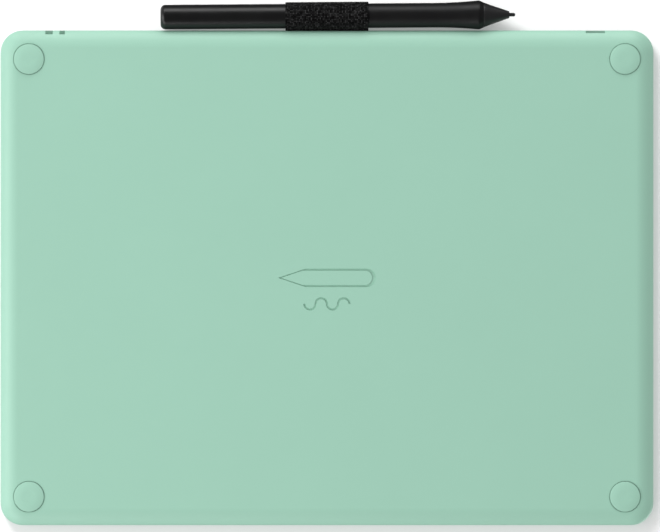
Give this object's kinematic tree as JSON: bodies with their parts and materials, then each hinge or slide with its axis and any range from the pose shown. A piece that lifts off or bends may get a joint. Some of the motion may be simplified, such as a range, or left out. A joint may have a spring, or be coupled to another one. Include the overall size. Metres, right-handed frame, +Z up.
{
  "type": "pen drawing tablet",
  "caption": "Flat pen drawing tablet with a textured drawing surface, a key tray, round rubber feet and a cordless pen held in a woven loop at its rear edge.",
  "frame": {"origin": "on the table under the centre of the whole object's box, pen and loop included", "axes": "+Z up out of the drawing surface, +X to the user's right, +Y to the rear edge that holds the pen"},
  "size_m": [0.264, 0.2122, 0.012],
  "materials": {
    "mint_shell": "soft matte moulded, fine spark texture",
    "mint_rubber": "smooth matte elastomer",
    "black_cover": "matte moulded",
    "black_sheet": "paper-like textured film",
    "key_black": "satin moulded",
    "pen_black": "semi-matte soft coat",
    "switch_black": "satin",
    "nib_black": "plain acetal",
    "woven_black": "tight woven elastic band",
    "circuit_board": "solder mask",
    "chip_black": "moulded epoxy",
    "inner_plastic": "plain moulded",
    "steel": "bright",
    "pouch_foil": "satin foil",
    "foam": "closed-cell foam",
    "cable_black": "matte sleeve",
    "flex_copper": "copper",
    "clear_plastic": "frosted clear",
    "ferrite": "sintered grey"
  },
  "bodies": {
    "tablet": {"bottom_shell": "mint_shell", "top_cover": "black_cover", "drawing_sheet": "black_sheet", "sensor_board": "circuit_board", "shield_plate": "steel", "main_board": "circuit_board", "board_chips": "chip_black", "key_switches": "steel", "radio_module": "steel", "battery": "pouch_foil", "battery_pad": "foam", "battery_lead": "cable_black", "sensor_flex": "flex_copper", "usb_socket": "steel", "light_pipe": "clear_plastic", "rubber_feet": "mint_rubber", "case_screws": "steel", "board_screws": "steel", "pen_loop": "woven_black", "loop_anchor": "key_black"},
    "outer_left_key": {"key_outer_left": "key_black"},
    "inner_left_key": {"key_inner_left": "key_black"},
    "inner_right_key": {"key_inner_right": "key_black"},
    "outer_right_key": {"key_outer_right": "key_black"},
    "power": {"power_button": "key_black"},
    "pen": {"pen_front_barrel": "pen_black", "pen_nose_cone": "pen_black", "pen_frame": "inner_plastic", "pen_board": "circuit_board", "pen_ferrite": "ferrite", "pen_coil": "flex_copper", "pen_force_sensor": "steel"},
    "nib": {"pen_nib": "nib_black"},
    "side_switch": {"pen_side_switch": "switch_black"},
    "rear_barrel": {"pen_rear_barrel": "pen_black", "nib_rack": "foam", "spare_nibs": "nib_black"}
  },
  "joints": [
    {"name": "outer_left_key_press", "type": "slide", "parent": "tablet", "child": "outer_left_key", "axis": [0, 0, -1], "range_m": [0, 0.0004], "stiffness_N_per_m": 1200, "springref_m": -0.0002},
    {"name": "inner_left_key_press", "type": "slide", "parent": "tablet", "child": "inner_left_key", "axis": [0, 0, -1], "range_m": [0, 0.0004], "stiffness_N_per_m": 1200, "springref_m": -0.0002},
    {"name": "inner_right_key_press", "type": "slide", "parent": "tablet", "child": "inner_right_key", "axis": [0, 0, -1], "range_m": [0, 0.0004], "stiffness_N_per_m": 1200, "springref_m": -0.0002},
    {"name": "outer_right_key_press", "type": "slide", "parent": "tablet", "child": "outer_right_key", "axis": [0, 0, -1], "range_m": [0, 0.0004], "stiffness_N_per_m": 1200, "springref_m": -0.0002},
    {"name": "power_press", "type": "slide", "parent": "tablet", "child": "power", "axis": [0, 0, -1], "range_m": [0, 0.0003], "stiffness_N_per_m": 1200, "springref_m": -0.0002},
    {"name": "pen_slide", "type": "slide", "parent": "tablet", "child": "pen", "axis": [-1, 0.007, 0], "range_m": [-0.008, 0.08]},
    {"name": "nib_press", "type": "slide", "parent": "pen", "child": "nib", "axis": [1, -0.007, 0], "range_m": [0, 0.0003], "stiffness_N_per_m": 1500, "springref_m": -0.0001},
    {"name": "side_switch_rock", "type": "hinge", "parent": "pen", "child": "side_switch", "pos_m": [-0.0367, 0.10005, 0.0083], "axis": [0.007, 1, 0], "range_deg": [-1.5, 1.5], "stiffness_Nm_per_rad": 0.3},
    {"name": "rear_barrel_pull", "type": "slide", "parent": "pen", "child": "rear_barrel", "axis": [1, -0.007, 0], "range_m": [0, 0.03]}
  ]
}
